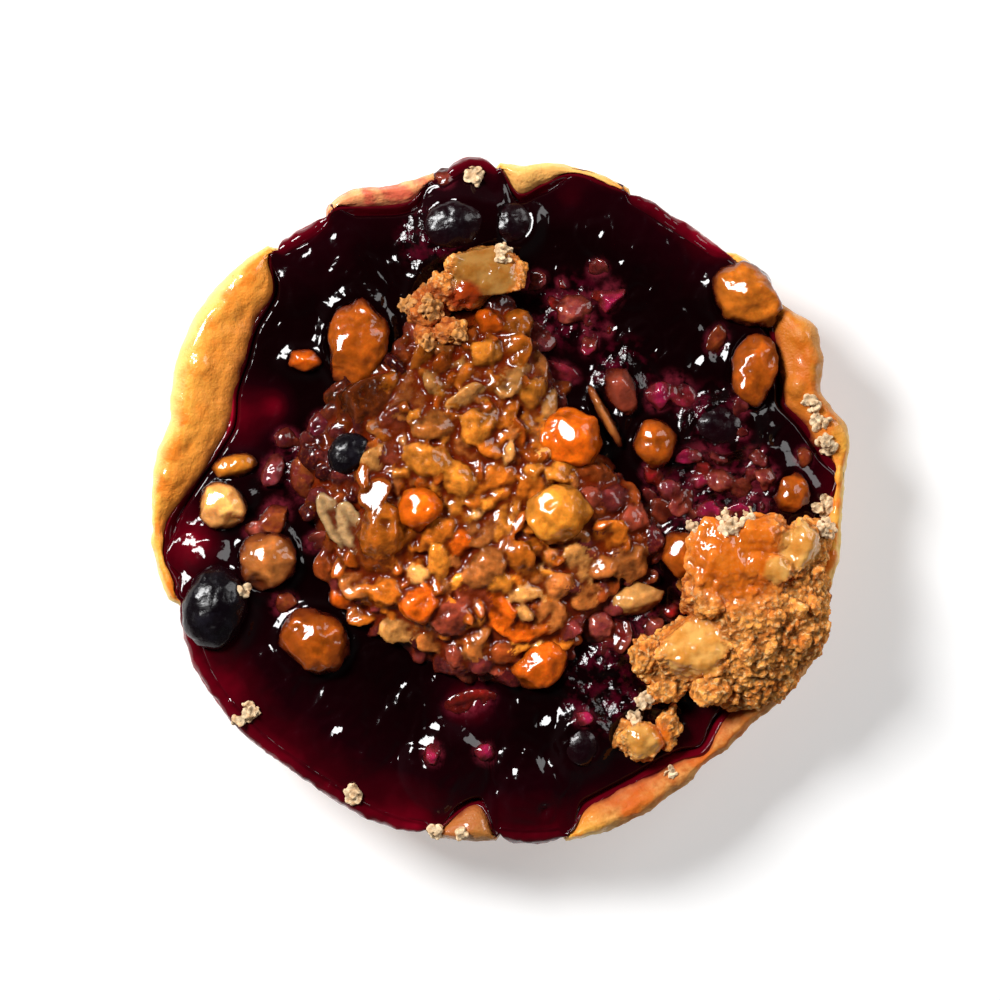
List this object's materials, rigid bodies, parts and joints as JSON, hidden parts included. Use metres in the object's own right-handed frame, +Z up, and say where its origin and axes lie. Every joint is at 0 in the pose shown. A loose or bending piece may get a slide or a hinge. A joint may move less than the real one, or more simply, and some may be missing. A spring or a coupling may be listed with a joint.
{
  "type": "berry crumble tart",
  "caption": "Round open tart: a pastry shell filled with berry jam that runs over the rim, heaped in the middle with oat and nut crumble, with whole berries, nuts and crumble lumps on the jam.",
  "frame": {"origin": "centre of the flat base", "axes": "+Z up; +Y towards the top of the picture, +X towards its right"},
  "size_m": [0.1001, 0.0985, 0.025],
  "materials": {
    "pastry": "baked golden, lightly glazed",
    "jam": "wet dark berry jam",
    "crumble": "oat crumble in syrup",
    "berry": "wet dark berry skin"
  },
  "bodies": {
    "root": {"berry_heap": "berry", "berry_left": "berry", "berry_low_right": "berry", "berry_right": "berry", "berry_top": "berry", "berry_top_right": "berry", "crumble_big": "crumble", "crumble_heap": "crumble", "crumble_small": "crumble", "crumble_top": "crumble", "crust": "pastry", "jam": "jam", "lump_bottom": "crumble", "lump_edge": "crumble", "lump_left": "crumble", "lump_lower_left": "crumble", "lump_mid_right": "crumble", "lump_right": "crumble", "lump_rim": "crumble", "lump_upper_left": "crumble", "nugget_glazed": "crumble", "nugget_golden": "crumble", "nugget_left": "crumble", "nugget_orange": "crumble", "nugget_right": "crumble", "nut_pale": "crumble", "nut_rosy": "crumble", "oat_left": "crumble", "oat_shard": "crumble", "oat_upper_left": "crumble"}
  },
  "joints": []
}
